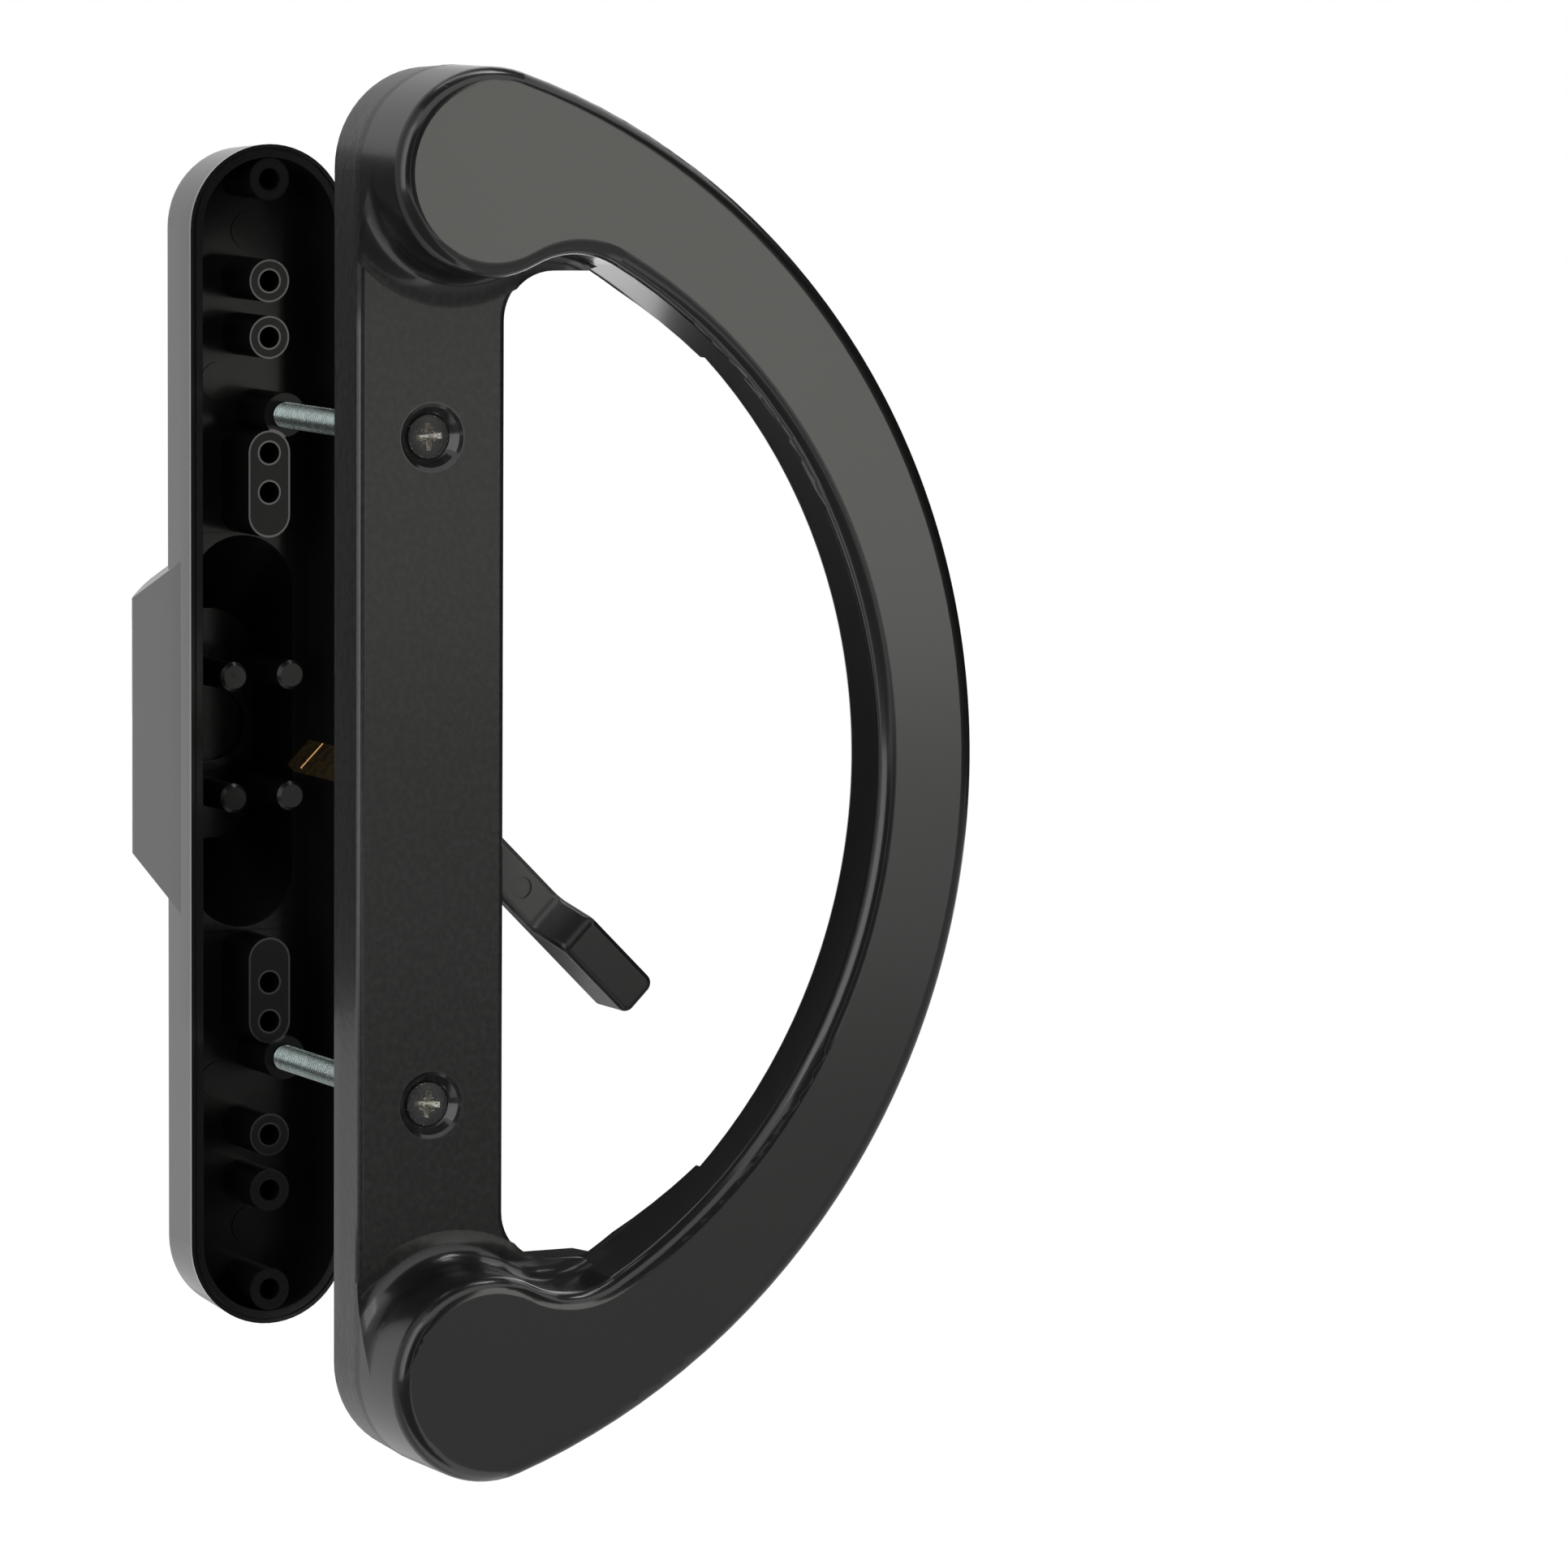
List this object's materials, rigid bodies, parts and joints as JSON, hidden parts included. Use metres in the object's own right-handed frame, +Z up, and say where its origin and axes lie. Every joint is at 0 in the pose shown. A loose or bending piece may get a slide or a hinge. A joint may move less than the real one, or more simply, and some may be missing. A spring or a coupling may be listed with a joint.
{
  "type": "sliding patio door handle",
  "caption": "Sliding patio door handle set: bowed inside grip on a base with a thumb latch and blade, a hollow outside pull, and long screws through the door.",
  "frame": {"origin": "on the inside face of the door, halfway between the two through screws", "axes": "+X across the stile towards the bowed grip, +Y through the door to the outside, +Z up"},
  "size_m": [0.0991, 0.099, 0.2102],
  "materials": {
    "black_paint": "semi-gloss black paint on a zinc casting",
    "black_paint_cast": "semi-gloss black paint on a zinc casting",
    "black_paint_latch": "semi-gloss black paint on a zinc casting",
    "brass_blade": "rolled brass strip",
    "spring_steel": "plain spring steel",
    "plate_steel": "zinc plated sheet steel",
    "screw_steel": "zinc plated steel",
    "black_screw": "zinc plated steel with a black painted head"
  },
  "bodies": {
    "handle": {"interior_pull": "black_paint", "exterior_pull": "black_paint_cast", "mounting_screws": "black_screw", "retainer_plate": "plate_steel", "retainer_screws": "screw_steel", "spring_washer": "spring_steel"},
    "latch": {"latch_lever": "black_paint_latch", "tailpiece": "brass_blade"}
  },
  "joints": [
    {"name": "latch_turn", "type": "hinge", "parent": "handle", "child": "latch", "pos_m": [0, 0, -0.0022], "axis": [0, -1, 0], "range_deg": [0, 90]}
  ]
}
